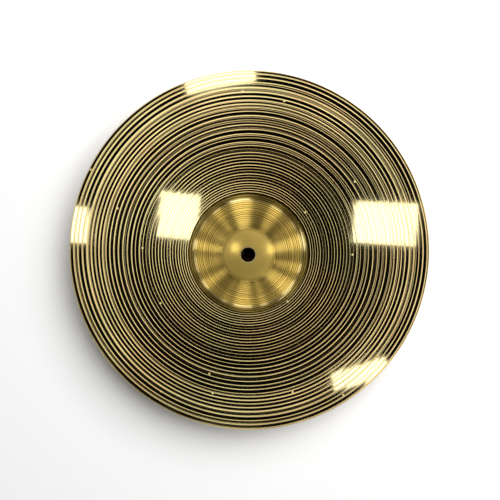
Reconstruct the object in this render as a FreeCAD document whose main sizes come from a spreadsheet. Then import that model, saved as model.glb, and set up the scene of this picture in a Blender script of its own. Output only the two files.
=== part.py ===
# A 13 inch pair of hi-hat cymbals, closed rim on rim and standing on the crown of the lower bell.
# Millimetres, +Z up. The origin lies on the bore axis, in the plane of the floor.
#
# Each cymbal is one sheet of brass: a bored dome, a sweep that carries the dome out into the bow, and
# the bow itself, which thins towards the rim. A flat lip under the rim is where the two cymbals meet.
# The wall is one section turned about the axis, and each turning pass leaves a face of its own. Dome
# and bow are turned along the curve. The sweep is cut in straight passes that follow its arc.
import FreeCAD, Part
import math
import os

import Sketcher

# Driving sizes in millimetres. The last three are counts of turning passes.
SIZES = {
    "rim_diameter": 330.0,
    "bow_radius": 686.0,
    "bell_diameter": 106.0,
    "sweep_radius": 20.0,
    "dome_radius": 72.0,
    "bore_diameter": 12.7,
    "mouth_chamfer": 0.2,
    "lip_width": 1.6,
    "edge_bevel": 0.3,
    "top_wall": 1.2,
    "top_edge": 0.8,
    "bottom_wall": 1.5,
    "bottom_edge": 1.0,
    "foot_mark_width": 1.0,
    "foot_mark_depth": 0.2,
    "cutter_overrun": 0.2,
    "dome_passes": 9,
    "sweep_passes": 3,
    "bow_passes": 8,
}

# Places on the section, in terms of the driving sizes.
BORE_X = "Sizes.bore_diameter / 2"
MOUTH_X = "Sizes.bore_diameter / 2 + Sizes.mouth_chamfer"
FOOT_X = "Sizes.bell_diameter / 2"
RIM_X = "Sizes.rim_diameter / 2"
EDGE_X = "Sizes.rim_diameter / 2 - Sizes.edge_bevel"
LIP_X = "Sizes.rim_diameter / 2 - Sizes.lip_width"
SWEEP_X = f"{FOOT_X} * (1 + Sizes.sweep_radius / Sizes.bow_radius)"
DOME_SHARE = "/ (Sizes.dome_radius + Sizes.sweep_radius)"
SHOULDER_X = f"{SWEEP_X} * Sizes.dome_radius {DOME_SHARE}"

UP = FreeCAD.Vector(0, 0, 1)
X_AXIS = FreeCAD.Vector(1, 0, 0)
FULL_TURN = 360
HALF_TURN = 180

# How the sketcher numbers the points of an element and its own two axes, which meet at the origin.
START, END, CENTRE = range(1, 4)
LEVEL, UPRIGHT = range(-1, -3, -1)
ORIGIN = (LEVEL, START)


def sizes_sheet(doc):
    """Writes the driving sizes into a sheet, with a named cell for each."""
    sheet = doc.addObject("Spreadsheet::Sheet", "Sizes")
    for row, (name, value) in enumerate(SIZES.items(), start=1):
        sheet.set(f"A{row}", name)
        sheet.set(f"B{row}", str(value))
        sheet.setAlias(f"B{row}", name)
    doc.recompute()


def between(start, end, share):
    """The point at a share of the way from start to end."""
    return tuple(a + (b - a) * share for a, b in zip(start, end))


def flat(point):
    """A point of the section as a vector in the sketch."""
    return FreeCAD.Vector(point[0], point[1], 0)


class Stretch:
    """A curved part of the section, in turning passes with ends evenly spaced away from the axis.

    first and last are its ends, nearer the axis first, and formulas says how far each is from the
    axis. A bulging stretch rises above its centre and is turned along the curve. One that sags
    below its centre is cut in straight passes with their ends on the curve. Once it is drawn, guide
    is the element that carries the curve's centre, and near and far are its two end points."""

    def __init__(self, name, centre, bulging, first, last, formulas):
        self.name = name
        self.centre = centre
        self.bulging = bulging
        self.first = first
        self.last = last
        self.formulas = formulas
        self.radius = math.dist(centre, last)
        self.passes = name.split("_")[-1] + "_passes"
        self.count = int(SIZES[self.passes])
        self.guide = self.near = self.far = None

    def end_of(self, number):
        """The outer end of a pass. Pass 0 is the stretch's own start."""
        x = self.first[0] + (self.last[0] - self.first[0]) * number / self.count
        rise = math.sqrt(self.radius**2 - (x - self.centre[0]) ** 2)
        return (x, self.centre[1] + (rise if self.bulging else -rise))

    def formula_of(self, number):
        """The distance from the axis to the outer end of a pass, as a formula on the sheet."""
        near, far = self.formulas
        return f"{near} + ({far} - ({near})) * {number} / Sizes.{self.passes}"

    def arc(self, start, end):
        """The part of the curve between two of its points, which the sketcher draws anticlockwise."""
        x, y = self.centre
        angles = sorted(math.atan2(point[1] - y, point[0] - x) for point in (start, end))
        return Part.ArcOfCircle(Part.Circle(flat(self.centre), UP, self.radius), *angles)

    def draw(self, drawing):
        """Draws the passes end to end and fixes how far each ends from the axis."""
        corners = [self.end_of(number) for number in range(self.count + 1)]
        pairs = list(zip(corners, corners[1:]))
        if self.bulging:
            inner, outer = END, START
            passes = [drawing.curve(self.arc(*pair)) for pair in pairs]
            self.guide, self.near, self.far = passes[0], (passes[0], inner), (passes[-1], outer)
        else:
            inner, outer = START, END
            self.guide = drawing.curve(self.arc(self.first, self.last), guide=True)
            passes = [drawing.line(*pair) for pair in pairs]
            self.near, self.far = (self.guide, inner), (self.guide, outer)
            drawing.fix("Coincident", passes[0], inner, *self.near)
            drawing.fix("Coincident", passes[-1], outer, *self.far)
        for number in range(1, self.count):
            before, after = passes[number - 1 : number + 1]
            drawing.fix("Coincident", before, outer, after, inner)
            if self.bulging:
                drawing.fix("Coincident", after, CENTRE, self.guide, CENTRE)
            else:
                drawing.fix("PointOnObject", before, outer, self.guide)
            name = f"{self.name}_pass_{number}"
            drawing.place(name, before, outer, corners[number], self.formula_of(number))


class Section:
    """Where one cymbal's wall runs, bell up, with the plane of the rim at height zero."""

    def __init__(self, side):
        """Works out the centres and ends of the arcs for the top or the bottom cymbal."""
        self.wall = SIZES[f"{side}_wall"]
        self.wall_size = f"Sizes.{side}_wall"
        self.edge_size = f"Sizes.{side}_edge"
        bow, sweep, dome = (SIZES[f"{name}_radius"] for name in ("bow", "sweep", "dome"))
        rim = SIZES["rim_diameter"] / 2
        edge = SIZES[f"{side}_edge"]
        foot_x = SIZES["bell_diameter"] / 2

        self.rim = (rim, 0.0)
        self.edge = (rim - SIZES["edge_bevel"], edge)
        self.lip = (rim - SIZES["lip_width"], 0.0)
        self.bow_centre = (0.0, edge - math.sqrt(bow**2 - self.edge[0] ** 2))
        self.foot = (foot_x, self.bow_centre[1] + math.sqrt(bow**2 - foot_x**2))
        self.sweep_centre = between(self.bow_centre, self.foot, 1 + sweep / bow)
        drop = math.sqrt((dome + sweep) ** 2 - self.sweep_centre[0] ** 2)
        self.dome_centre = (0.0, self.sweep_centre[1] - drop)
        self.shoulder = between(self.dome_centre, self.sweep_centre, dome / (dome + sweep))
        share = (dome - self.wall) / (dome + sweep)
        self.inner_shoulder = between(self.dome_centre, self.sweep_centre, share)
        self.inner_foot = between(self.foot, self.bow_centre, self.wall / bow)
        x, y = self.inner_foot
        self.inner_bow_centre = (0.0, (x**2 + y**2 - self.lip[0] ** 2) / (2 * y))
        self.mouth = self.mouth_on(dome)
        self.inner_mouth = self.mouth_on(dome - self.wall)

    def mouth_on(self, radius):
        """Where a dome of that radius meets the deburred mouth of the bore."""
        x = SIZES["bore_diameter"] / 2 + SIZES["mouth_chamfer"]
        return (x, self.dome_centre[1] + math.sqrt(radius**2 - x**2))

    def outer_stretches(self):
        """Dome, sweep and bow of the outer face, from the bore to the rim."""
        return [
            Stretch("dome", self.dome_centre, True, self.mouth, self.shoulder, (MOUTH_X, SHOULDER_X)),
            Stretch("sweep", self.sweep_centre, False, self.shoulder, self.foot, (SHOULDER_X, FOOT_X)),
            Stretch("bow", self.bow_centre, True, self.foot, self.edge, (FOOT_X, EDGE_X)),
        ]

    def inner_stretches(self):
        """The same three on the inner face."""
        shoulder_x = f"{SWEEP_X} * (Sizes.dome_radius - {self.wall_size}) {DOME_SHARE}"
        foot_x = f"{FOOT_X} * (1 - {self.wall_size} / Sizes.bow_radius)"
        ends = (self.inner_mouth, self.inner_shoulder, self.inner_foot, self.lip)
        places = (MOUTH_X, shoulder_x, foot_x, LIP_X)
        centres = (self.dome_centre, self.sweep_centre, self.inner_bow_centre)
        bulges = (True, False, True)
        return [
            Stretch(name, centres[i], bulges[i], ends[i], ends[i + 1], (places[i], places[i + 1]))
            for i, name in enumerate(("inner_dome", "inner_sweep", "inner_bow"))
        ]


class Drawing:
    """A sketch whose dimensions are bound to the sheet."""

    def __init__(self, body, name):
        """Lays an empty sketch on the body's own upright plane."""
        self.sketch = body.newObject("Sketcher::SketchObject", name)
        planes = [plane for plane in body.Origin.OriginFeatures if plane.Role == "XZ_Plane"]
        self.sketch.AttachmentSupport = (planes[0], [""])
        self.sketch.MapMode = "FlatFace"

    def curve(self, geometry, guide=False):
        """Draws a curve, or one that only guides others, and returns its number."""
        return self.sketch.addGeometry(geometry, guide)

    def line(self, start, end):
        """Draws a line and returns its number."""
        return self.curve(Part.LineSegment(flat(start), flat(end)))

    def fix(self, kind, *facts):
        """Adds a constraint without a dimension."""
        self.sketch.addConstraint(Sketcher.Constraint(kind, *facts))

    def size(self, name, formula, kind, *facts):
        """Adds a dimension and binds it to a formula on the sheet."""
        index = self.sketch.addConstraint(Sketcher.Constraint(kind, *facts))
        self.sketch.renameConstraint(index, name)
        self.sketch.setExpression(f"Constraints.{name}", formula)

    def place(self, name, element, point, at, across, height=None):
        """Fixes how far a point lies from the axis and, where a height is given, from the rim plane."""
        self.size(f"{name}_x", across, "DistanceX", *ORIGIN, element, point, at[0])
        if height:
            self.size(f"{name}_y", height, "DistanceY", *ORIGIN, element, point, at[1])

    def reading(self, name, element, point, height):
        """Adds a dimension that only reads the height of a point."""
        facts = ("DistanceY", *ORIGIN, element, point, height)
        index = self.sketch.addConstraint(Sketcher.Constraint(*facts))
        self.sketch.setDriving(index, False)
        self.sketch.renameConstraint(index, name)


def draw_face(drawing, stretches, into_bow):
    """Draws dome, sweep and bow of one face. The dome runs into the sweep without a corner."""
    dome, sweep, bow = stretches
    for stretch in stretches:
        stretch.draw(drawing)
    drawing.fix("Tangent", *dome.far, *sweep.near)
    drawing.fix(into_bow, *sweep.far, *bow.near)
    drawing.place(f"{sweep.name}_end", *sweep.far, sweep.last, sweep.formulas[1])
    drawing.fix("PointOnObject", bow.guide, CENTRE, UPRIGHT)


def draw_mouth(drawing, name, dome, mouth, bore):
    """Draws the deburred mouth of the bore from its wall out to the dome, and returns its number."""
    line = drawing.line(bore, mouth)
    drawing.fix("Coincident", line, END, *dome.near)
    drawing.place(name, line, END, mouth, MOUTH_X)
    drawing.place(f"{name}_bore", line, START, bore, BORE_X)
    lower, upper = (START, END) if bore[1] < mouth[1] else (END, START)
    facts = (line, lower, line, upper, SIZES["mouth_chamfer"])
    drawing.size(f"{name}_depth", "Sizes.mouth_chamfer", "DistanceY", *facts)
    return line


def draw_bore(drawing, section, dome, inner_dome):
    """Draws the wall of the bore between its two deburred mouths."""
    bore_x, chamfer = SIZES["bore_diameter"] / 2, SIZES["mouth_chamfer"]
    top = (bore_x, section.mouth[1] - chamfer)
    bottom = (bore_x, section.inner_mouth[1] + chamfer)
    mouth = draw_mouth(drawing, "mouth", dome, section.mouth, top)
    inner_mouth = draw_mouth(drawing, "inner_mouth", inner_dome, section.inner_mouth, bottom)
    wall = drawing.line(bottom, top)
    drawing.fix("Coincident", wall, START, inner_mouth, START)
    drawing.fix("Coincident", wall, END, mouth, START)


def draw_rim(drawing, section, bow, inner_bow):
    """Draws the bevelled edge and the flat lip, and closes them on the two bows."""
    bevel = drawing.line(section.edge, section.rim)
    lip = drawing.line(section.rim, section.lip)
    drawing.fix("Coincident", *bow.far, bevel, START)
    drawing.fix("Coincident", bevel, END, lip, START)
    drawing.fix("Coincident", lip, END, *inner_bow.far)
    drawing.place("edge", bevel, START, section.edge, EDGE_X, section.edge_size)
    drawing.place("rim", lip, START, section.rim, RIM_X)
    drawing.place("lip", lip, END, section.lip, LIP_X)
    for point in (START, END):
        drawing.fix("PointOnObject", lip, point, LEVEL)


def draw_section(body, name, section):
    """Draws the whole wall of a cymbal as one closed outline and returns the sketch."""
    drawing = Drawing(body, name)
    outer, inner = section.outer_stretches(), section.inner_stretches()
    draw_face(drawing, outer, "Tangent")
    dome, sweep, bow = outer
    drawing.fix("PointOnObject", dome.guide, CENTRE, UPRIGHT)
    for stretch in outer:
        radius = f"{stretch.name}_radius"
        drawing.size(radius, f"Sizes.{radius}", "Radius", stretch.guide, stretch.radius)

    draw_face(drawing, inner, "Coincident")
    inner_dome, inner_sweep, inner_bow = inner
    drawing.fix("Coincident", inner_dome.guide, CENTRE, dome.guide, CENTRE)
    drawing.fix("Coincident", inner_sweep.guide, CENTRE, sweep.guide, CENTRE)
    radius = f"Sizes.dome_radius - {section.wall_size}"
    drawing.size("inner_dome_radius", radius, "Radius", inner_dome.guide, inner_dome.radius)

    draw_bore(drawing, section, dome, inner_dome)
    draw_rim(drawing, section, bow, inner_bow)
    drawing.reading("crown_height", *dome.near, section.mouth[1])
    drawing.reading("foot_height", *bow.near, section.foot[1])
    return drawing.sketch


def turn(body, kind, name, sketch):
    """Turns a section right round the axis, to add or to cut."""
    feature = body.newObject(kind, name)
    feature.Profile = sketch
    feature.ReferenceAxis = (sketch, ["V_Axis"])
    feature.Angle = FULL_TURN
    feature.Refine = False
    sketch.Visibility = False
    return feature


def draw_foot_mark(body, name, wall_name, section):
    """Draws the point of the tool that cuts the line round the foot of the bell, clear of the sheet."""
    drawing = Drawing(body, name)
    x, y = section.foot
    depth, overrun = SIZES["foot_mark_depth"], SIZES["cutter_overrun"]
    reach = SIZES["foot_mark_width"] / 2 * (1 + overrun / depth)
    corners = [(x, y - depth), (x + reach, y + overrun), (x - reach, y + overrun)]
    lines = [drawing.line(a, b) for a, b in zip(corners, corners[1:] + corners[:1])]
    for line, following in zip(lines, lines[1:] + lines[:1]):
        drawing.fix("Coincident", line, END, following, START)
    foot_y = f"{wall_name}.Constraints.foot_height"
    over = f"{foot_y} + Sizes.cutter_overrun * 1 mm"
    under = f"{foot_y} - Sizes.foot_mark_depth * 1 mm"
    side = "Sizes.foot_mark_width / 2 * (1 + Sizes.cutter_overrun / Sizes.foot_mark_depth)"
    drawing.place("tip", lines[0], START, corners[0], FOOT_X, under)
    drawing.place("outer", lines[1], START, corners[1], f"{FOOT_X} + {side}", over)
    drawing.place("inner", lines[2], START, corners[2], f"{FOOT_X} - {side}", over)
    return drawing.sketch


def cymbal(doc, side):
    """Builds one cymbal, bell up, with its rim plane at height zero."""
    title = side.capitalize()
    section = Section(side)
    body = doc.addObject("PartDesign::Body", f"{title}Cymbal")
    body.Label = f"{side}_cymbal"
    wall = draw_section(body, f"{title}Wall", section)
    sheet = turn(body, "PartDesign::Revolution", f"{title}Sheet", wall)
    doc.recompute()
    mark = draw_foot_mark(body, f"{title}FootMark", f"{title}Wall", section)
    groove = turn(body, "PartDesign::Groove", f"{title}FootGroove", mark)
    doc.recompute()
    if groove.Shape.Volume >= sheet.Shape.Volume:
        raise ValueError(f"the foot groove of the {side} cymbal cuts nothing")
    return body


def stand_pair(top, bottom):
    """Turns the bottom cymbal bell down on the floor and lays the top one on its rim."""
    bottom.Placement.Rotation = FreeCAD.Rotation(X_AXIS, HALF_TURN)
    for body in (top, bottom):
        body.setExpression("Placement.Base.z", "BottomWall.Constraints.crown_height")


def check(doc, bodies):
    """Stops if any object failed or any cymbal isn't one sound solid."""
    for item in doc.Objects:
        if {"Invalid", "Error"} & set(item.State):
            raise ValueError(f"{item.Name} failed: {item.State}")
    for body in bodies:
        shape = body.Shape
        if shape.isNull() or not shape.isValid() or len(shape.Solids) != 1:
            raise ValueError(f"{body.Label} isn't one sound solid")


def main():
    """Builds the pair and writes each cymbal's solid."""
    doc = FreeCAD.newDocument("HiHatCymbals")
    sizes_sheet(doc)
    top = cymbal(doc, "top")
    bottom = cymbal(doc, "bottom")
    stand_pair(top, bottom)
    doc.recompute()
    check(doc, (top, bottom))
    os.makedirs("parts", exist_ok=True)
    for body in (top, bottom):
        body.Shape.exportStep(f"parts/{body.Label}.step")
        box = body.Shape.BoundBox
        print(body.Label, f"{box.XLength:.2f} wide, z {box.ZMin:.3f} to {box.ZMax:.3f}",
              f"{body.Shape.Volume / 1000:.1f} cm3, {len(body.Shape.Faces)} faces")


main()
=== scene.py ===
"""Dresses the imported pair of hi-hat cymbals and lights it in a small white studio.

Each cymbal is turned from one closed section: bored crown, turned bell, and a bow with one long
spiral tool line. The scene is in metres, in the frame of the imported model, with +Z up along the
bores. Fields of the classes are in millimetres and degrees, where nothing else is said.
"""
import logging
import math
from dataclasses import dataclass, field
from enum import Enum
from typing import Any

import bpy
import numpy as np
from mathutils import Matrix, Vector


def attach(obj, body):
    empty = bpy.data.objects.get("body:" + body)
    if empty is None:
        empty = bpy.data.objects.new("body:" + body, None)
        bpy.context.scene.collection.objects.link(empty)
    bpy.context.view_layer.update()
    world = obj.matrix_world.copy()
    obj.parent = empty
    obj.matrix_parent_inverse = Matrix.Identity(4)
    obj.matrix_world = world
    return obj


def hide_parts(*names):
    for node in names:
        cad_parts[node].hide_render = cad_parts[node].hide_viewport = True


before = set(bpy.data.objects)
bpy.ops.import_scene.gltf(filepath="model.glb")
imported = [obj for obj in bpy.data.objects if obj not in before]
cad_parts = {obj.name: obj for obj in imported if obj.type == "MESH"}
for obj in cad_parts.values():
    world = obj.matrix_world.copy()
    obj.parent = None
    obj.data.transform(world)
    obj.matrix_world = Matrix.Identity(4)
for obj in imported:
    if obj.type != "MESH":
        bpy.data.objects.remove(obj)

Socket = bpy.types.NodeSocket
Triple = tuple[float, float, float]
Span = tuple[float, float]
Band = tuple[float, float, float, float]

MM = 0.001
TURN = 2 * math.pi
QUARTER = math.pi / 2
WHITE = (1.0, 1.0, 1.0)
BLACK = (0.0, 0.0, 0.0)
log = logging.getLogger("cymbals")


class Bell(Enum):
    """Which way a cymbal's bell points."""

    UP = 1
    DOWN = -1


class Zone(Enum):
    """The parts of a cymbal's section, from the bore round to the bore again."""

    MOUTH = 0
    BELL = 1
    FOOT = 2
    BOW = 3
    RIM = 4
    INSIDE = 5


def cosine(angle: float) -> float:
    """The cosine of an angle in degrees."""
    return math.cos(math.radians(angle))


def fetch(items: Any, name: str, width: int = 1, kind: type = np.int32) -> np.ndarray:
    """Reads one property of all the points, edges, corners or faces of a mesh.

    Args:
        items: The collection that is read.
        name: The property's name.
        width: How many numbers the property has.
        kind: The type of the numbers.

    Returns:
        The numbers, with a row to each item where the property has more than one.
    """
    values = np.empty(width * len(items), kind)
    items.foreach_get(name, values)
    return values if width == 1 else values.reshape(-1, width)


def store(mesh: bpy.types.Mesh, name: str, kind: str, domain: str, values: np.ndarray) -> None:
    """Keeps a number for each point, edge or face of a mesh as an attribute."""
    mesh.attributes.new(name, kind, domain).data.foreach_set("value", values)


@dataclass(frozen=True)
class Grain:
    """An uneven pattern: its features to a unit, its octaves and its shift along the number.

    Where it has a rise, it is cut to marks, which go from 0 at the first level to 1 at the second.
    """

    scale: float
    detail: float
    shift: float = 0.0
    rise: Span | None = None


class Value:
    """A number in a shader graph. Python's operators add the Math nodes."""

    def __init__(self, graph: "Graph", socket: Socket) -> None:
        """Wraps an output socket of a graph."""
        self.graph = graph
        self.socket = socket

    def maths(self, operation: str, *others: Any, flip: bool = False) -> "Value":
        """Adds a Math node.

        Args:
            operation: The node's operation.
            others: Further inputs, numbers or values.
            flip: Puts this value second.

        Returns:
            The node's result.
        """
        inputs = (self, *others)
        if flip:
            inputs = (others[0], self)
        return self.graph.value("ShaderNodeMath", {"operation": operation}, dict(enumerate(inputs)))

    def __add__(self, other: Any) -> "Value":
        """Adds."""
        return self.maths("ADD", other)

    __radd__ = __add__

    def __mul__(self, other: Any) -> "Value":
        """Multiplies."""
        return self.maths("MULTIPLY", other)

    __rmul__ = __mul__

    def __sub__(self, other: Any) -> "Value":
        """Subtracts."""
        return self.maths("SUBTRACT", other)

    def __rsub__(self, other: Any) -> "Value":
        """Subtracts this value from a number."""
        return self.maths("SUBTRACT", other, flip=True)

    def __truediv__(self, other: Any) -> "Value":
        """Divides."""
        return self.maths("DIVIDE", other)

    def __pow__(self, other: Any) -> "Value":
        """Raises to a power."""
        return self.maths("POWER", other)

    def __mod__(self, other: Any) -> "Value":
        """The remainder, never below zero."""
        return self.maths("FLOORED_MODULO", other)

    def sine(self) -> "Value":
        """The sine of an angle in radians."""
        return self.maths("SINE")

    def above(self, edge: float) -> "Value":
        """One where the value lies above an edge."""
        return self.maths("GREATER_THAN", edge)

    def larger(self, other: Any) -> "Value":
        """The larger of two values."""
        return self.maths("MAXIMUM", other)

    def step(self, low: float, high: float) -> "Value":
        """A smooth step.

        Args:
            low: Where the step starts, at 0.
            high: Where it ends, at 1. It may lie below low.

        Returns:
            The step, from 0 to 1.
        """
        settings = {"interpolation_type": "SMOOTHSTEP"}
        start, end, names = low, high, ("To Min", "To Max")
        if low > high:
            start, end, names = high, low, ("To Max", "To Min")
        inputs = {"Value": self, "From Min": start, "From Max": end, names[0]: 0.0, names[1]: 1.0}
        return self.graph.value("ShaderNodeMapRange", settings, inputs, "Result")

    def band(self, start: float, full: float, fade: float, end: float) -> "Value":
        """Rises smoothly from 0 to 1 between the first two levels and falls between the others."""
        return self.step(start, full) * self.step(end, fade)


@dataclass(frozen=True)
class Spot:
    """Where a shaded point lies: its place in metres, and its numbers in millimetres."""

    place: Socket
    x: Value
    y: Value
    z: Value
    radius: Value


class Graph:
    """The shader nodes of one material or of the world."""

    def __init__(self, owner: Any) -> None:
        """Empties a node tree.

        Args:
            owner: The material or world that the tree belongs to.
        """
        owner.use_nodes = True
        self.tree = owner.node_tree
        self.tree.nodes.clear()

    def node(self, kind: str, settings: dict[str, Any], inputs: dict[Any, Any]) -> bpy.types.Node:
        """Adds a node.

        Args:
            kind: The node's type.
            settings: Its settings, which are set before its sockets.
            inputs: A number, colour, value or socket for each input, by name or place.

        Returns:
            The new node.
        """
        node = self.tree.nodes.new(kind)
        for name, setting in settings.items():
            setattr(node, name, setting)
        for name, given in inputs.items():
            if isinstance(given, Value):
                given = given.socket
            if isinstance(given, Socket):
                self.tree.links.new(given, node.inputs[name])
            elif isinstance(given, tuple):
                node.inputs[name].default_value = (*given, 1.0)
            else:
                node.inputs[name].default_value = given
        return node

    def value(
        self, kind: str, settings: dict[str, Any], inputs: dict[Any, Any], out: Any = 0
    ) -> Value:
        """Adds a node and wraps one of its outputs as a number."""
        return Value(self, self.node(kind, settings, inputs).outputs[out])

    def attribute(self, name: str) -> Value:
        """Reads a number that the mesh carries."""
        return self.value("ShaderNodeAttribute", {"attribute_name": name}, {}, "Fac")

    def spot(self) -> Spot:
        """Reads where a point lies on its object.

        Returns:
            Its place in metres, then its parts and its distance from the z axis in millimetres.
        """
        place = self.node("ShaderNodeTexCoord", {}, {}).outputs["Object"]
        inputs = {0: place, "Scale": 1 / MM}
        scaled = self.node("ShaderNodeVectorMath", {"operation": "SCALE"}, inputs).outputs[0]
        split = self.node("ShaderNodeSeparateXYZ", {}, {0: scaled})
        x, y, z = (Value(self, part) for part in split.outputs)
        return Spot(place, x, y, z, (x * x + y * y) ** 0.5)

    def pattern(self, dimensions: str, where: dict[str, Any], grain: Grain) -> Value:
        """Adds a noise texture.

        Args:
            dimensions: Whether it runs along a number or fills space.
            where: The input that says where it is read.
            grain: The pattern.

        Returns:
            The noise, around 0.5, or its marks, from 0 to 1.
        """
        inputs = where | {"Scale": grain.scale, "Detail": grain.detail}
        settings = {"noise_dimensions": dimensions}
        noise = self.value("ShaderNodeTexNoise", settings, inputs, "Fac")
        return noise.step(*grain.rise) if grain.rise else noise

    def noise(self, at: Value, grain: Grain) -> Value:
        """Adds a pattern along a number."""
        return self.pattern("1D", {"W": at + grain.shift}, grain)

    def clouds(self, at: Socket, grain: Grain) -> Value:
        """Adds a pattern in space, which has no shift."""
        return self.pattern("3D", {"Vector": at}, grain)

    def mix(self, share: Any, first: Any, second: Any) -> Socket:
        """Mixes two colours, by the share of the second one."""
        inputs = {0: share, 6: first, 7: second}
        return self.node("ShaderNodeMix", {"data_type": "RGBA"}, inputs).outputs[2]

    def finish(self, shader: Socket, kind: str = "ShaderNodeOutputMaterial") -> None:
        """Links a shader to the output."""
        self.node(kind, {}, {"Surface": shader})


@dataclass(frozen=True)
class PressedForm:
    """The pressed form of a cymbal, bell up, measured from its axis and its rim plane.

    The bow, the sweep at its foot and the dome are arcs. The wall is at the bell, the edge is the
    wall at the rim.
    """

    rim: float = 165.0
    bow: float = 686.0
    foot: float = 53.0
    sweep: float = 14.0
    dome: float = 76.74
    bore: float = 6.35
    mouth: float = 0.2
    lip: float = 1.6
    bevel: float = 0.3
    wall: float = 1.2
    edge: float = 0.8

    def centres(self) -> tuple[float, Span, float, float, float]:
        """Works out the centres of the arcs.

        Returns:
            The bow's, the sweep's and the dome's centre, then the inner bow's centre and radius.
        """
        rim = self.rim - self.bevel
        bow = self.edge - math.sqrt(self.bow**2 - rim**2)
        foot = bow + math.sqrt(self.bow**2 - self.foot**2)
        reach = 1 + self.sweep / self.bow
        sweep = (self.foot * reach, bow + (foot - bow) * reach)
        dome = sweep[1] - math.sqrt((self.dome + self.sweep) ** 2 - sweep[0] ** 2)
        inner = 1 - self.wall / self.bow
        x, y = self.foot * inner, bow + (foot - bow) * inner
        lip = self.rim - self.lip
        inner_bow = (x**2 + y**2 - lip**2) / (2 * y)
        return bow, sweep, dome, inner_bow, math.hypot(lip, inner_bow)

    def height(self, radius: np.ndarray, inside: bool = False) -> np.ndarray:
        """The height of a face above the rim plane.

        Args:
            radius: Distances from the axis.
            inside: Asks for the inner face.

        Returns:
            The height at each distance.
        """
        bow, sweep, dome, inner_bow, inner_radius = self.centres()
        wall = self.wall if inside else 0.0
        centre, bow_radius = (inner_bow, inner_radius) if inside else (bow, self.bow)
        foot = self.foot * (1 - wall / self.bow)
        shoulder = sweep[0] * (self.dome - wall) / (self.dome + self.sweep)
        on_bow = centre + np.sqrt(np.maximum(bow_radius**2 - radius**2, 0))
        under = np.maximum((self.sweep + wall) ** 2 - (radius - sweep[0]) ** 2, 0)
        on_sweep = sweep[1] - np.sqrt(under)
        on_dome = dome + np.sqrt(np.maximum((self.dome - wall) ** 2 - radius**2, 0))
        return np.where(radius > foot, on_bow, np.where(radius > shoulder, on_sweep, on_dome))

    def at(self, radius: float, inside: bool = False) -> float:
        """The height of a face at one distance from the axis."""
        return float(self.height(np.array(radius), inside))


@dataclass(frozen=True)
class ToolLine:
    """The spiral groove that the lathe tool leaves on the bow, and the land between its turns.

    Feeds and shares go with a distance from the axis: the feed of a turn and the share of it that
    the groove takes. Drift and swell are waves along the spiral, each a size, a rate and a phase
    in radians. Rows are the points across one turn, each a place and a depth: the land lies
    from 0 to 1 and the groove from 1 to 2. Edges are the rows where the land starts and ends.
    """

    start: float = 53.9
    end: float = 164.2
    depth: float = 0.16
    fade: float = 0.25
    samples: int = 2000
    feeds: tuple[Span, ...] = (
        (53.0, 1.9), (68.0, 2.5), (92.0, 2.95), (98.0, 3.3), (110.0, 4.1), (120.0, 4.3),
        (132.0, 3.3), (141.0, 3.7), (150.0, 4.5), (158.0, 4.1), (166.0, 3.8),
    )
    shares: tuple[Span, ...] = (
        (53, 0.21), (74, 0.17), (92, 0.155), (108, 0.155), (120, 0.19), (129, 0.27),
        (148, 0.32), (166, 0.29),
    )
    drift: tuple[Triple, ...] = ((0.05, 0.31, 1.0), (0.03, 0.117, 0.0), (0.03, 0.43, 2.0))
    swell: tuple[Triple, ...] = ((0.24, 1.0, 2.9), (0.13, 2.0, 4.9))
    narrowest: float = 0.08
    widest: float = 0.52
    rows: tuple[Span, ...] = ((0, 0), (0.5, 0), (1, 0), (1.25, 0.75), (1.5, 1), (1.75, 0.75))
    edges: tuple[int, int] = (0, 2)

    def path(self) -> tuple[np.ndarray, np.ndarray]:
        """Follows the tool from the bell out to the rim.

        Returns:
            Turns made, and the distance from the axis at each.
        """
        radii = np.linspace(self.start, self.end, self.samples)
        places, feeds = zip(*self.feeds)
        steps = np.diff(radii) / np.interp(radii[1:], places, feeds)
        turns = np.concatenate([[0.0], np.cumsum(steps)])
        return turns, radii

    def widths(self, turns: np.ndarray) -> np.ndarray:
        """The share of the feed that the groove takes, which wanders along the spiral.

        Args:
            turns: Turns made.

        Returns:
            The share at each.
        """
        angle = TURN * turns
        share = np.interp(np.interp(turns, *self.path()), *zip(*self.shares))
        slow = sum(size * np.sin(rate * angle + phase) for size, rate, phase in self.drift)
        around = sum(size * np.cos(rate * angle + phase) for size, rate, phase in self.swell)
        return np.clip(share * (1 + around) + slow, self.narrowest, self.widest)

    def follow(
        self, start: np.ndarray, row: np.ndarray
    ) -> tuple[np.ndarray, np.ndarray, np.ndarray]:
        """Works out where points of the spiral lie.

        Args:
            start: Turns made where the land of each point starts.
            row: Which of the rows across the turn each point is on.

        Returns:
            Turns made at each point, its distance from the axis and its depth, from 0 to 1.
        """
        turns, radii = self.path()
        across, deep = (np.array(values, float)[row] for values in zip(*self.rows))
        wide = self.widths(start)
        on_groove = 1 - wide + (across - 1) * wide
        turn = start + np.where(across <= 1, across * (1 - wide), on_groove)
        turn = np.clip(turn, 0, turns[-1])
        to_tip = np.minimum(turn, turns[-1] - turn)
        return turn, np.interp(turn, turns, radii), deep * np.clip(to_tip / self.fade, 0, 1)


@dataclass
class Rows:
    """The rows of a section: where each lies and what it belongs to."""

    radius: list[float] = field(default_factory=list)
    height: list[float] = field(default_factory=list)
    zone: list[int] = field(default_factory=list)
    turn: list[int] = field(default_factory=list)
    step: list[int] = field(default_factory=list)

    def add(self, radius: float, height: float, zone: Zone, turn: int = 0, step: int = -1) -> None:
        """Adds one row.

        Args:
            radius: Its distance from the axis.
            height: Its height above the rim plane.
            zone: The part of the section that it belongs to.
            turn: The turn of the tool line, on the bow.
            step: The row across that turn, on the bow.
        """
        self.radius.append(radius)
        self.height.append(height)
        self.zone.append(zone.value)
        self.turn.append(turn)
        self.step.append(step)

    def arrays(self) -> dict[str, np.ndarray]:
        """The rows as arrays, by name."""
        return {name: np.array(values, float) for name, values in vars(self).items()}


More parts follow.
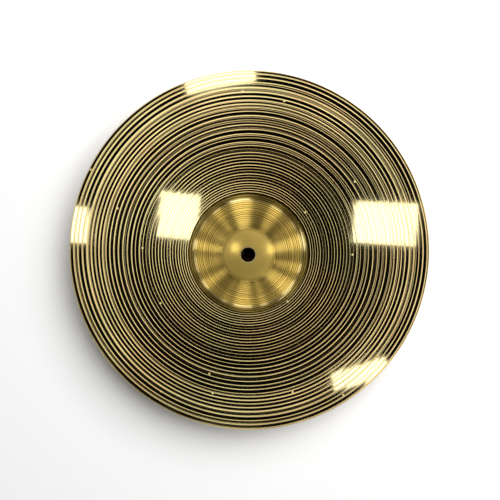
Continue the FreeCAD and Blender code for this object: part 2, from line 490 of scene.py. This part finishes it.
@dataclass
class Cymbal:
    """One cymbal of the pair, turned from its section with the tool line cut into its bow.

    The foot mark is the groove round the bell, which the bell's finish darkens with painted shade:
    offsets from the foot's radius, and depths.
    The spin leaves a gap, a share of a column, and each lip stands off the rim plane by the seam.
    The two maps place the outer and the inner face in the baked picture, by centre and size.
    """

    name: str
    node: str
    slot: str
    bell: Bell
    rim_plane: float
    form: PressedForm
    line: ToolLine
    materials: dict[Zone, bpy.types.Material]
    columns: int = 180
    gap: float = 0.5
    mouth_rows: int = 4
    crown_step: float = 1.3
    rings_from: float = 44.6
    rings_to: float = 49.4
    ring_pitch: float = 1.7
    ring_depth: float = 0.025
    ring_rows: int = 4
    foot_mark: tuple[Span, ...] = (
        (-0.95, 0.0), (-0.75, 0.02), (-0.35, 0.13), (-0.05, 0.2), (0.2, 0.13), (0.42, 0.02),
        (0.55, 0.0),
    )
    rim_round: float = 0.26
    rim_rows: int = 4
    under_rows: int = 3
    under_round: float = 0.8
    seam: float = 0.02
    lip_step: float = 0.5
    inner_step: float = 2.6
    merge: float = 0.001
    outer_map: Span = (0.405, 0.8)
    inner_map: Span = (0.805, 0.37)

    def section(self) -> Rows:
        """Lists the rows of the closed section.

        Returns:
            The rows, from the bore over the outer face to the rim and back inside.
        """
        rows = Rows()
        self.add_mouth(rows)
        self.add_bell(rows)
        self.add_bow(rows)
        self.add_rim(rows)
        self.add_inside(rows)
        return rows

    def add_mouth(self, rows: Rows) -> None:
        """Adds the wall of the bore and the rounded edge of its upper mouth.

        Args:
            rows: The rows, which grow.
        """
        form, mouth = self.form, self.form.mouth
        top, bottom = form.at(form.bore + mouth), form.at(form.bore + mouth, inside=True)
        rows.add(form.bore, bottom + mouth, Zone.MOUTH)
        for angle in np.linspace(0, QUARTER, self.mouth_rows):
            radius = form.bore + mouth * (1 - math.cos(angle))
            rows.add(radius, top - mouth * (1 - math.sin(angle)), Zone.MOUTH)

    def add_bell(self, rows: Rows) -> None:
        """Adds the smooth crown, the turned rings above the foot and the mark round it.

        Args:
            rows: The rows, which grow.
        """
        form = self.form
        start, end = form.bore + form.mouth, form.foot + self.foot_mark[0][0]
        count = round((self.rings_from - start) / self.crown_step)
        for radius in np.linspace(start, self.rings_from, count + 1)[1:-1]:
            rows.add(radius, form.at(radius), Zone.BELL)
        count = self.ring_rows * round((end - self.rings_from) / self.ring_pitch)
        for number, radius in enumerate(np.linspace(self.rings_from, end, count, endpoint=False)):
            cut = self.ring_depth * (0.5 - 0.5 * math.cos(TURN * number / self.ring_rows))
            cut *= min(max((self.rings_to - radius) / self.ring_pitch, 0.0), 1.0)
            rows.add(radius, form.at(radius) - cut, Zone.BELL)
        for offset, depth in self.foot_mark:
            rows.add(form.foot + offset, form.at(form.foot + offset) - depth, Zone.FOOT)

    def add_bow(self, rows: Rows) -> None:
        """Adds the rows of the tool line, a few to each turn.

        Args:
            rows: The rows, which grow.
        """
        turns, radii = self.line.path()
        for number in range(math.floor(turns[-1]) + 2):
            radius = float(np.interp(number, turns, radii))
            for step in range(len(self.line.rows)):
                rows.add(radius, self.form.at(radius), Zone.BOW, number, step)

    def add_rim(self, rows: Rows) -> None:
        """Adds the rounded rim and the flat lip that meets the other cymbal.

        Args:
            rows: The rows, which grow.
        """
        form, turned = self.form, self.rim_round
        corner = form.rim - turned
        top, middle = form.at(corner), (self.line.end + corner) / 2
        rows.add(middle, form.at(middle), Zone.RIM)
        for angle in np.linspace(0, QUARTER, self.rim_rows):
            radius = corner + turned * math.sin(angle)
            rows.add(radius, top - turned * (1 - math.cos(angle)), Zone.RIM)
        for angle in np.linspace(0, QUARTER, self.under_rows):
            radius = corner + turned * math.cos(angle)
            rise = turned * (1 - math.sin(angle)) * self.under_round
            rows.add(radius, self.seam + rise, Zone.RIM)
        rows.add(form.rim - form.lip, self.seam, Zone.INSIDE)

    def add_inside(self, rows: Rows) -> None:
        """Adds the inner face from the lip to the lower mouth of the bore.

        Args:
            rows: The rows, which grow.
        """
        form = self.form
        start, end = form.rim - form.lip - self.lip_step, form.bore + form.mouth
        count = round((start - end) / self.inner_step)
        for radius in np.linspace(start, end, count + 1):
            rows.add(radius, form.at(radius, inside=True), Zone.INSIDE)
        mouth = form.at(end, inside=True)
        for angle in (QUARTER / 3, 2 * QUARTER / 3):
            radius = form.bore + form.mouth * (1 - math.sin(angle))
            rows.add(radius, mouth + form.mouth * (1 - math.cos(angle)), Zone.INSIDE)

    def wire(self, rows: Rows) -> bpy.types.Object:
        """Lays the section as a closed wire beside the axis.

        Args:
            rows: The rows of the section.

        Returns:
            The wire, with each point's row kept on it.
        """
        bpy.ops.object.select_all(action="DESELECT")
        bpy.ops.mesh.primitive_circle_add(vertices=len(rows.radius), location=(0, 0, 0))
        piece = bpy.context.object
        piece.name = piece.data.name = self.name
        points = np.zeros((len(rows.radius), 3))
        points[:, 0], points[:, 2] = rows.radius, rows.height
        piece.data.vertices.foreach_set("co", (points * MM).ravel())
        store(piece.data, "row", "INT", "POINT", np.arange(len(points), dtype=np.int32))
        return piece

    def spin(self) -> float:
        """Spins the wire clockwise, short of a full turn, so that its two ends stay apart.

        Returns:
            The angle between two columns.
        """
        step = TURN / (self.columns + self.gap)
        bpy.ops.object.mode_set(mode="EDIT")
        bpy.ops.mesh.select_all(action="SELECT")
        bpy.ops.mesh.spin(
            steps=self.columns, angle=step * self.columns, center=(0, 0, 0), axis=(0, 0, 1),
            use_auto_merge=False,
        )
        bpy.ops.object.mode_set(mode="OBJECT")
        return step

    def place(self, piece: bpy.types.Object, rows: Rows, step: float) -> None:
        """Moves every point to its place, so that the rows of the bow run on as a spiral.

        Args:
            piece: The spun piece.
            rows: The rows of its section.
            step: The angle between its columns.
        """
        mesh, table = piece.data, rows.arrays()
        row = fetch(mesh.attributes["row"].data, "value")
        points = fetch(mesh.vertices, "co", 3, float)
        # A quarter of a step keeps every column clear of rounding.
        away = (step / 4 - np.arctan2(points[:, 1], points[:, 0])) % TURN
        share = np.floor(away / step) / self.columns
        radius, height = table["radius"][row], table["height"][row]
        bow = table["zone"][row] == Zone.BOW.value
        start, across = table["turn"][row][bow] - 1 + share[bow], table["step"][row][bow]
        turn, radius[bow], depth = self.line.follow(start, across.astype(int))
        height[bow] = self.form.height(radius[bow]) - self.line.depth * depth
        angle, flip = -TURN * share, self.bell.value
        points[:, 0], points[:, 1] = radius * np.cos(angle), flip * radius * np.sin(angle)
        points[:, 2] = self.rim_plane + flip * height
        mesh.vertices.foreach_set("co", (points * MM).ravel())
        along = np.where(radius > self.form.foot, self.line.path()[0][-1], 0.0)
        along[bow] = turn
        groove = np.zeros(len(points))
        groove[bow] = depth
        store(mesh, "turn", "FLOAT", "POINT", along)
        store(mesh, "groove", "FLOAT", "POINT", groove)
        mesh.update()

    def mark(self, piece: bpy.types.Object, rows: Rows) -> None:
        """Marks the zone of each face and the sharp edges of the line.

        Args:
            piece: The placed piece, before its ends are merged.
            rows: The rows of its section.
        """
        mesh, table = piece.data, rows.arrays()
        row = fetch(mesh.attributes["row"].data, "value")
        near = row[fetch(mesh.loops, "vertex_index")].reshape(-1, 4)
        last, first = near.max(axis=1), near.min(axis=1)
        zone = table["zone"][last].astype(np.int32)
        zone[last - first > 1] = Zone.MOUTH.value
        store(mesh, "zone", "INT", "FACE", zone)
        start, end = row[fetch(mesh.edges, "vertices", 2)].T
        sharp = (start == end) & np.isin(table["step"][start], self.line.edges)
        store(mesh, "sharp_edge", "BOOLEAN", "EDGE", sharp)

    def close(self) -> None:
        """Merges the two ends of the spin and the spiral's two fading tips."""
        bpy.ops.object.mode_set(mode="EDIT")
        bpy.ops.mesh.select_all(action="SELECT")
        bpy.ops.mesh.remove_doubles(threshold=self.merge * MM)
        bpy.ops.mesh.normals_make_consistent(inside=False)
        bpy.ops.object.mode_set(mode="OBJECT")
        bpy.ops.object.shade_smooth(keep_sharp_edges=True)

    def dress(self, piece: bpy.types.Object) -> None:
        """Gives the faces their materials and the map that a picture of them is baked to.

        Args:
            piece: The closed piece.
        """
        mesh = piece.data
        zone = fetch(mesh.attributes["zone"].data, "value")
        kinds = list(dict.fromkeys(self.materials.values()))
        for material in kinds:
            mesh.materials.append(material)
        index = np.array([kinds.index(self.materials[kind]) for kind in Zone], np.int32)
        mesh.polygons.foreach_set("material_index", index[zone])
        points = fetch(mesh.vertices, "co", 3, float)
        flat = points[fetch(mesh.loops, "vertex_index"), :2] / (2 * self.form.rim * MM)
        inside = np.repeat(zone == Zone.INSIDE.value, fetch(mesh.polygons, "loop_total"))
        maps = (centre + size * flat for centre, size in (self.inner_map, self.outer_map))
        places = np.where(inside[:, None], *maps)
        mesh.uv_layers.new(name="OFBake").data.foreach_set("uv", places.ravel())
        mesh.update()

    def build(self) -> bpy.types.Object:
        """Builds the cymbal and puts it in the place of its node.

        Returns:
            The finished piece.
        """
        rows = self.section()
        piece = self.wire(rows)
        self.place(piece, rows, self.spin())
        self.mark(piece, rows)
        self.close()
        self.dress(piece)
        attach(piece, self.node)
        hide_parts(self.node)
        log.info("%s: %d faces", self.name, len(piece.data.polygons))
        return piece


@dataclass(frozen=True)
class Brass:
    """Bare brass, and what its finishes share.

    The smear is how far turning marks draw out what the brass mirrors, and the quarter turn makes
    them draw it outwards from the axis.
    """

    name: str
    colour: Triple = (0.93, 0.67, 0.17)
    land: Triple = (0.89, 0.785, 0.425)
    sheen: float = 0.2
    smear: float = 0.93
    smear_turn: float = 0.25

    def brass(
        self, graph: Graph, colour: Any, rough: Any, smear: float = 0.0, normal: Any = None,
        metal: float = 1.0,
    ) -> Socket:
        """Adds the shader of bare brass.

        Args:
            graph: The graph of the material.
            colour: Its colour.
            rough: Its roughness.
            smear: How far turning marks draw out what it mirrors.
            normal: Its bumped normal, if it has one.
            metal: How much of it is bright. The rest is matt, as on a torn cut.

        Returns:
            The shader's socket.
        """
        inputs = {
            "Base Color": colour, "Metallic": metal, "Roughness": rough,
            "Specular IOR Level": self.sheen,
        }
        if smear:
            inputs |= {"Anisotropic": smear, "Anisotropic Rotation": self.smear_turn}
        if normal is not None:
            inputs["Normal"] = normal
        return graph.node("ShaderNodeBsdfPrincipled", {}, inputs).outputs["BSDF"]

    def bump(self, graph: Graph, height: Value, depth: float) -> Socket:
        """Turns a height from 0 to 1 into a normal, for marks of a depth."""
        inputs = {"Height": height, "Distance": depth * MM, "Strength": 1.0}
        return graph.node("ShaderNodeBump", {}, inputs).outputs["Normal"]

    def mixed(self, graph: Graph, share: Any, first: Any, second: Any) -> Socket:
        """Mixes two shaders, by the share of the second one."""
        return graph.node("ShaderNodeMixShader", {}, {0: share, 1: first, 2: second}).outputs[0]

    def shader(self, graph: Graph) -> Socket:
        """Adds the nodes of the finish. Each finish has its own."""
        raise NotImplementedError(self.name)

    def material(self) -> bpy.types.Material:
        """Makes the material.

        Returns:
            The new material.
        """
        material = bpy.data.materials.new(self.name)
        graph = Graph(material)
        graph.finish(self.shader(graph))
        return material


@dataclass(frozen=True)
class BowFinish(Brass):
    """The bow: mirror-bright lands between the turns of a dull gold line.

    The line's colour is painted paler towards one side and darker towards the other, as painted
    light and shade from that side. Beyond the inner part of the bow some turns have a bright
    middle, fine hairs run beside others, and a film dulls a few lands.
    Round nicks are scattered all over.
    """

    land_rough: float = 0.064
    scuff: Grain = Grain(1.3, 3.0, 4.0, (0.62, 0.75))
    scuff_rough: float = 0.12
    wave: Grain = Grain(0.3, 0.0, 7.0)
    wave_depth: float = 0.014
    line_edge: Span = (0.0, 0.08)
    line_rough: float = 0.6
    line_metal: float = 0.12
    # Painted light and shade on the line: its painted lit colour, its painted shaded colour (deep),
    # a warm tone that wanders at random, then the side that is painted lit and how strongly.
    painted_lit_colour: Triple = (0.95, 0.785, 0.345)
    deep: Triple = (0.63, 0.52, 0.23)
    warm: Triple = (0.93, 0.63, 0.28)
    painted_light: Span = (-0.94, 0.34)
    painted_light_share: float = 0.45
    cloud: Grain = Grain(9.0, 2.0)
    mottle: Grain = Grain(2.1, 2.0, 9.0)
    mottle_share: float = 0.9
    warmth: Grain = Grain(14.0, 1.0, rise=(0.42, 0.62))
    warm_share: float = 0.55
    streak_share: float = 0.22
    streak_rough: float = 0.3
    streak_tilt: float = 0.45
    outer: Span = (84.0, 104.0)
    bright: Grain = Grain(0.83, 1.0, 31.0, (0.54, 0.58))
    bright_depth: Span = (0.88, 0.97)
    hair: Grain = Grain(0.71, 1.0, 50.0, (0.52, 0.56))
    hair_band: Band = (0.2, 0.24, 0.3, 0.34)
    hair_share: float = 0.8
    film: Grain = Grain(0.9, 2.0, 17.0, (0.6, 0.72))
    film_share: float = 0.28
    nick_cells: float = 17.0
    nick_edge: Span = (0.02, 0.014)
    nick_chance: float = 0.35

    def shader(self, graph: Graph) -> Socket:
        """Adds the lands and the line between them.

        Args:
            graph: The graph of the material.

        Returns:
            The shader's socket.
        """
        spot, turn = graph.spot(), graph.attribute("turn")
        land, line = self.lands(graph, spot, turn), self.lines(graph, spot, turn)
        return self.mixed(graph, self.dull(graph, spot, turn), land, line)

    def dull(self, graph: Graph, spot: Spot, turn: Value) -> Value:
        """Works out where the bow is dull.

        Args:
            graph: The graph of the material.
            spot: Where the point lies.
            turn: Turns of the tool made there.

        Returns:
            The share of the dull line, from 0 to 1.
        """
        groove, outer = graph.attribute("groove"), spot.radius.step(*self.outer)
        bright = graph.noise(turn, self.bright) * groove.step(*self.bright_depth) * outer
        line = groove.step(*self.line_edge) * (1 - bright)
        hair = graph.noise(turn, self.hair) * (turn % 1.0).band(*self.hair_band) * self.hair_share
        film = graph.noise(turn, self.film) * self.film_share
        return line.larger(hair.larger(film) * outer).larger(self.nicks(graph, spot))

    def nicks(self, graph: Graph, spot: Spot) -> Value:
        """Scatters small round nicks, one to most cells of a loose net.

        Args:
            graph: The graph of the material.
            spot: Where the point lies.

        Returns:
            One on the nicks and zero between them.
        """
        inputs = {"Vector": spot.place, "Scale": self.nick_cells}
        cells = graph.node("ShaderNodeTexVoronoi", {"voronoi_dimensions": "2D"}, inputs)
        drawn = graph.value("ShaderNodeSeparateColor", {}, {0: cells.outputs["Color"]})
        near = Value(graph, cells.outputs["Distance"]).step(*self.nick_edge)
        return near * drawn.above(self.nick_chance)

    def lands(self, graph: Graph, spot: Spot, turn: Value) -> Socket:
        """Adds the polished land, scuffed here and there and a little wavy.

        Args:
            graph: The graph of the material.
            spot: Where the point lies.
            turn: Turns of the tool made there.

        Returns:
            The shader's socket.
        """
        rough = graph.noise(turn, self.scuff) * self.scuff_rough + self.land_rough
        waves = self.bump(graph, graph.noise(spot.radius, self.wave), self.wave_depth)
        return self.brass(graph, self.land, rough, normal=waves)

    def lines(self, graph: Graph, spot: Spot, turn: Value) -> Socket:
        """Adds the dull line, with a few glossy streaks that lean outwards.

        Args:
            graph: The graph of the material.
            spot: Where the point lies.
            turn: Turns of the tool made there.

        Returns:
            The shader's socket.
        """
        # Painted light and shade: the line's colour goes from deep on one side of the bow to the
        # painted lit colour on the other, by the direction from the axis.
        painted_light = (spot.x * self.painted_light[0] + spot.y * self.painted_light[1]) / spot.radius * self.painted_light_share
        tone = (graph.clouds(spot.place, self.cloud) + graph.noise(turn, self.mottle)) * 0.5
        gold = graph.mix(painted_light + 0.5 + (tone - 0.5) * self.mottle_share, self.deep, self.painted_lit_colour)
        warmth = graph.clouds(spot.place, self.warmth) * self.warm_share
        gold = graph.mix(warmth, gold, self.warm)
        matt = self.brass(graph, gold, self.line_rough, metal=self.line_metal)
        tilt = self.bump(graph, spot.radius * -1.0, self.streak_tilt)
        streaks = self.brass(graph, self.land, self.streak_rough, self.smear, tilt)
        return self.mixed(graph, self.streak_share, matt, streaks)


@dataclass(frozen=True)
class BellFinish(Brass):
    """The bell: a satin crown, then fine turned rings that draw every lamp out into a ray.

    Spans and bands are distances from the axis. The drift and the wander, in radians, keep the
    rings from being even. Painted shade darkens the groove round the foot, which lies under a
    burnished band, the troughs of the rings and a line at the crown's edge, and a painted highlight
    lightens the edge of the bore.
    """

    ring_pitch: float = 1.75
    ring_drift: Grain = Grain(0.2, 1.0)
    ring_wander: float = 7.0
    ring_depth: float = 0.08
    ring_fade: Span = (45.0, 42.0)
    # Painted shade in the colour: how much the troughs of the rings darken, and the dark colour,
    # which also darkens the line at the crown's edge.
    painted_ring_shade: float = 0.8
    painted_shade: Triple = (0.27, 0.18, 0.035)
    tone: Grain = Grain(0.9, 2.0)
    tone_share: float = 0.5
    tone_rise: Span = (0.3, 0.68)
    inner: Span = (37.0, 27.0)
    inner_share: float = 0.25
    flank_rough: float = 0.34
    foot_rough: float = 0.42
    foot_fade: Span = (48.0, 51.5)
    # Painted shade in the groove round the foot: its band, its share and its dark colour.
    mark: Band = (52.2, 52.6, 53.3, 53.6)
    foot_shade_share: float = 0.75
    painted_foot_shade: Triple = (0.1, 0.065, 0.015)
    burnish: Band = (45.5, 48.0, 51.5, 52.3)
    burnish_share: float = 0.35
    burnish_rough: float = 0.1
    crown_end: Span = (21.5, 24.5)
    # Painted shade at the crown's edge: its band and its share.
    crown_shade_band: Band = (20.4, 22.2, 22.4, 23.4)
    crown_shade_share: float = 0.4
    crown_colour: Triple = (1.0, 0.71, 0.17)
    # Painted highlight on the bore's rounded edge: where it starts and its pale colour.
    mouth_highlight_span: Span = (7.3, 6.9)
    painted_mouth_highlight: Triple = (1.0, 0.86, 0.5)
    satin_rough: float = 0.29
    satin_metal: float = 0.61
    shine_share: float = 0.4
    shine_rough: float = 0.2

    def shader(self, graph: Graph) -> Socket:
        """Adds the crown, the flank and the burnished band at the foot.

        Args:
            graph: The graph of the material.

        Returns:
            The shader's socket.
        """
        radius = graph.spot().radius
        crown, flank = self.crown(graph, radius), self.flank(graph, radius)
        turned = self.mixed(graph, radius.step(*self.crown_end), crown, flank)
        foot = self.brass(graph, self.land, self.burnish_rough)
        share = radius.band(*self.burnish) * self.burnish_share
        return self.mixed(graph, share, turned, foot)

    def flank(self, graph: Graph, radius: Value) -> Socket:
        """Adds the turned rings.

        Args:
            graph: The graph of the material.
            radius: The distance from the axis.

        Returns:
            The shader's socket.
        """
        drift = graph.noise(radius, self.ring_drift) * self.ring_wander
        wave = (radius * (TURN / self.ring_pitch) + drift).sine() * 0.5 + 0.5
        rings = self.bump(graph, wave * radius.step(*self.ring_fade), self.ring_depth)
        # Painted shade: the troughs of the rings are darkened in the colour, less so towards the
        # crown, with some tone that differs at random.
        tone = wave * self.painted_ring_shade + graph.noise(radius, self.tone) * self.tone_share
        tone = (tone + radius.step(*self.inner) * self.inner_share).step(*self.tone_rise)
        gold = graph.mix(tone, self.painted_shade, self.colour)
        # Painted shade: the groove round the foot is darkened in the colour.
        gold = graph.mix(radius.band(*self.mark) * self.foot_shade_share, gold, self.painted_foot_shade)
        rougher = radius.step(*self.foot_fade) * (self.foot_rough - self.flank_rough)
        return self.brass(graph, gold, rougher + self.flank_rough, self.smear, rings)

    def crown(self, graph: Graph, radius: Value) -> Socket:
        """Adds the crown, which is satin with some shine.

        Args:
            graph: The graph of the material.
            radius: The distance from the axis.

        Returns:
            The shader's socket.
        """
        # Painted shade: a dark line round the crown's edge, where the slope turns, is darkened in
        # the colour.
        line = radius.band(*self.crown_shade_band) * self.crown_shade_share
        gold = graph.mix(line, self.crown_colour, self.painted_shade)
        # Painted highlight: a paler ring round the rounded edge of the bore.
        gold = graph.mix(radius.step(*self.mouth_highlight_span), gold, self.painted_mouth_highlight)
        satin = self.brass(graph, gold, self.satin_rough, metal=self.satin_metal)
        shine = self.brass(graph, gold, self.shine_rough)
        return self.mixed(graph, self.shine_share, satin, shine)


@dataclass(frozen=True)
class PlainFinish(Brass):
    """The inner face and the edges: turned smooth and left as it is."""

    smear: float = 0.5
    rough: float = 0.18
    grain: Grain = Grain(1.2, 3.0)
    grain_rough: float = 0.2

    def shader(self, graph: Graph) -> Socket:
        """Adds brass whose roughness changes with the distance from the axis."""
        rough = graph.noise(graph.spot().radius, self.grain) * self.grain_rough + self.rough
        return self.brass(graph, self.colour, rough, self.smear)


def finishes(name: str) -> dict[Zone, bpy.types.Material]:
    """Makes the materials of one cymbal.

    Args:
        name: What their names start with.

    Returns:
        The material of each zone.
    """
    bow = BowFinish(f"{name}_bow").material()
    bell = BellFinish(f"{name}_bell").material()
    plain = PlainFinish(f"{name}_plain").material()
    kinds = {Zone.BELL: bell, Zone.FOOT: bell, Zone.BOW: bow}
    return {zone: kinds.get(zone, plain) for zone in Zone}


@dataclass(frozen=True)
class Lamp:
    """A soft box: where it hangs, what it lights, its size and how bright its face is."""

    name: str
    place: Triple
    aim: Triple
    size: Span
    lean: float = 0.0
    glow: float = 2.2
    mirrored: bool = True


@dataclass
class Studio:
    """The floor, the lamps, the dark dome and the camera.

    Angles on the dome are measured from its top. It is dark down to dome_dark, then its panels
    show, each a bearing, a width and a strength, and from dome_low on its pale horizon.
    """

    lamps: tuple[Lamp, ...]
    eye: Triple = (12.4, 41.2, 736.6)
    aim: Triple = (1.07, 2.12, 36.57)
    lens: float = 54.94
    sensor: float = 36.0
    clip: Span = (10.0, 50000.0)
    sky: float = 0.06
    floor: float = 6000.0
    floor_sides: int = 64
    floor_tone: float = 0.8
    floor_glow: float = 0.085
    # Painted shade on the floor: no glow within the first distance, full glow beyond the second.
    painted_floor_shadow: Span = (50.0, 120.0)
    floor_far: Span = (600.0, 2600.0)
    dome: float = 4000.0
    dome_sides: int = 48
    dome_dark: float = 44.2
    dome_fade: float = 9.0
    dome_low: float = 75.0
    dome_edge: float = 0.2
    dome_horizon: float = 0.4
    dome_black: float = 0.002
    dome_glow: float = 3.2
    dome_tint: Triple = (1.0, 0.95, 0.84)
    panel_fade: Span = (70.0, 58.0)
    panel_low: float = 1.2
    panel_high: float = 0.55
    panel_soft: float = 0.15
    panels: tuple[Triple, ...] = (
        (99, 24, 2.0), (57, 14, 1.9), (130, 9, 1.5), (152, 12, 0.7), (174, 9, 2.1),
        (-165, 16, 1.1), (-142, 10, 1.9), (-97, 18, 1.9), (-116, 5, 0.9), (-75, 7, 1.4),
        (-44, 18, 2.1), (-20, 10, 1.8), (10, 16, 1.9), (30, 10, 0.7),
    )

    def light_path(self, graph: Graph) -> Value:
        """Tells which rays see the white of the studio.

        Args:
            graph: The graph that asks.

        Returns:
            One for rays that come from the camera, a mirror or glass.
        """
        node = graph.node("ShaderNodeLightPath", {}, {})
        names = ("Is Camera Ray", "Is Glossy Ray", "Is Transmission Ray")
        camera, glossy, through = (Value(graph, node.outputs[name]) for name in names)
        return camera.larger(glossy).larger(through)

    def add_world(self) -> None:
        """Adds a white world that lights the scene only a little."""
        world = bpy.data.worlds.new("studio")
        bpy.context.scene.world = world
        world.cycles.sampling_method = "NONE"
        graph = Graph(world)
        strength = self.light_path(graph) * (1 - self.sky) + self.sky
        background = graph.node("ShaderNodeBackground", {}, {"Color": WHITE, "Strength": strength})
        graph.finish(background.outputs[0], "ShaderNodeOutputWorld")

    def dress(self, piece: bpy.types.Object, name: str) -> Graph:
        """Names a piece of the studio and gives it a material that isn't sampled as a lamp.

        Args:
            piece: The floor or the dome.
            name: Its name, which is the material's too.

        Returns:
            The graph of the material, still empty.
        """
        piece.name = piece.data.name = name
        material = bpy.data.materials.new(name)
        piece.data.materials.append(material)
        graph = Graph(material)
        material.cycles.emission_sampling = "NONE"
        return graph

    def add_floor(self) -> None:
        """Adds the pale floor, which glows a little for the camera but not under the bore, where
        the missing glow is painted shade.
        """
        bpy.ops.object.select_all(action="DESELECT")
        bpy.ops.mesh.primitive_circle_add(
            vertices=self.floor_sides, radius=self.floor * MM, fill_type="NGON", location=(0, 0, 0)
        )
        floor = bpy.context.object
        graph = self.dress(floor, "floor")
        radius = graph.spot().radius
        # Painted shade: no glow near the axis, so the floor under the cymbals stays dark.
        glow = radius.step(*self.painted_floor_shadow) * self.floor_glow + radius.step(*self.floor_far)
        inputs = {0: glow * self.light_path(graph), 1: 1.0}
        emission = graph.node("ShaderNodeEmission", {}, inputs)
        matt = graph.node("ShaderNodeBsdfDiffuse", {}, {0: (self.floor_tone,) * 3})
        inputs = {0: matt.outputs[0], 1: emission.outputs[0]}
        graph.finish(graph.node("ShaderNodeAddShader", {}, inputs).outputs[0])

    def rays(self, spot: Spot) -> Value:
        """Adds up the panels of the dome, which are soft at their sides.

        Args:
            spot: Where a point lies on the dome.

        Returns:
            How bright the panels are there.
        """
        rays = 0.0
        for bearing, width, strength in self.panels:
            angle, half = math.radians(bearing), width / 2
            facing = (spot.x * math.cos(angle) + spot.y * math.sin(angle)) / spot.radius
            edges = (cosine(half * (1 + self.panel_soft)), cosine(half * (1 - self.panel_soft)))
            rays = facing.step(*edges) * strength + rays
        return rays

    def add_dome(self) -> None:
        """Adds the dark dome that the polished brass mirrors. Only mirrors see it."""
        bpy.ops.object.select_all(action="DESELECT")
        bpy.ops.mesh.primitive_uv_sphere_add(
            segments=self.dome_sides, ring_count=self.dome_sides // 2, radius=self.dome * MM,
            location=(0, 0, 0),
        )
        dome = bpy.context.object
        bpy.ops.object.shade_smooth()
        graph = self.dress(dome, "dome")
        spot = graph.spot()
        height = spot.z * (1 / self.dome)
        high = height.step(*map(cosine, self.panel_fade))
        rays = self.rays(spot) * (high * (self.panel_high - self.panel_low) + self.panel_low)
        low = height.step(cosine(self.dome_low), cosine(self.dome_low + self.dome_fade))
        glow = rays * (1 - low) + low * self.dome_horizon + self.dome_edge
        level = height.step(cosine(self.dome_dark), cosine(self.dome_dark + self.dome_fade))
        share = (level * glow + self.dome_black) / self.dome_glow
        inputs = {0: graph.mix(share, BLACK, self.dome_tint), 1: self.dome_glow}
        graph.finish(graph.node("ShaderNodeEmission", {}, inputs).outputs[0])
        for ray in ("camera", "diffuse", "shadow", "transmission"):
            setattr(dome, f"visible_{ray}", False)

    def add_lamp(self, lamp: Lamp) -> None:
        """Hangs one soft box.

        Args:
            lamp: The soft box.
        """
        data = bpy.data.lights.new(lamp.name, "AREA")
        data.shape, data.size, data.size_y = "RECTANGLE", lamp.size[0] * MM, lamp.size[1] * MM
        data.energy = lamp.glow * math.pi * data.size * data.size_y
        light = bpy.data.objects.new(lamp.name, data)
        bpy.context.collection.objects.link(light)
        towards = Vector(lamp.aim) - Vector(lamp.place)
        light.matrix_world = (
            Matrix.Translation(Vector(lamp.place) * MM)
            @ towards.to_track_quat("-Z", "Y").to_matrix().to_4x4()
            @ Matrix.Rotation(math.radians(lamp.lean), 4, "Z")
        )
        light.visible_camera = False
        light.visible_glossy = lamp.mirrored

    def add_camera(self) -> None:
        """Adds the camera, almost straight above the bells."""
        data = bpy.data.cameras.new("camera")
        data.lens, data.sensor_width = self.lens, self.sensor
        data.clip_start, data.clip_end = self.clip[0] * MM, self.clip[1] * MM
        camera = bpy.data.objects.new("camera", data)
        bpy.context.collection.objects.link(camera)
        back = (Vector(self.eye) - Vector(self.aim)).normalized()
        right = Vector((0.0, 1.0, 0.0)).cross(back).normalized()
        turn = Matrix((right, back.cross(right), back)).transposed().to_4x4()
        camera.matrix_world = Matrix.Translation(Vector(self.eye) * MM) @ turn
        bpy.context.scene.camera = camera

    def build(self) -> None:
        """Builds the studio."""
        bpy.context.scene.view_settings.view_transform = "Standard"
        self.add_world()
        self.add_floor()
        self.add_dome()
        for lamp in self.lamps:
            self.add_lamp(lamp)
        self.add_camera()
        log.info("studio: %d lamps", len(self.lamps))


RIM_PLANE = 36.569
PAIR = (
    ("top", Bell.UP, PressedForm(wall=1.2, edge=0.8)),
    ("bottom", Bell.DOWN, PressedForm(wall=1.5, edge=1.0)),
)
LAMPS = (
    Lamp("back_box", (-205, 1010, 1045), (-33, 150, 50), (415, 300)),
    Lamp("left_box", (-1010, 84, 1025), (-156, 9, 40), (205, 160)),
    Lamp("upper_left_box", (-438, 145, 1297), (-65, 25, 55), (268, 240), lean=12),
    Lamp("right_box", (773, 96, 1169), (125, 18, 50), (243, 389), lean=-10),
    Lamp("low_right_box", (612, -769, 1039), (92, -118, 40), (330, 115), lean=-24),
    Lamp("window", (990, 990, 1790), (0, 0, 0), (1950, 1950), glow=7.2, mirrored=False),
)


def main() -> None:
    """Builds the two cymbals and the studio."""
    logging.basicConfig(level=logging.INFO, format="%(message)s")
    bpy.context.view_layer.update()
    for name, bell, form in PAIR:
        Cymbal(
            name=f"{name}_turned",
            node=f"{name}_cymbal",
            slot=f"{name}_brass",
            bell=bell,
            rim_plane=RIM_PLANE,
            form=form,
            line=ToolLine(),
            materials=finishes(name),
        ).build()
    Studio(LAMPS).build()


if __name__ == "__main__":
    main()
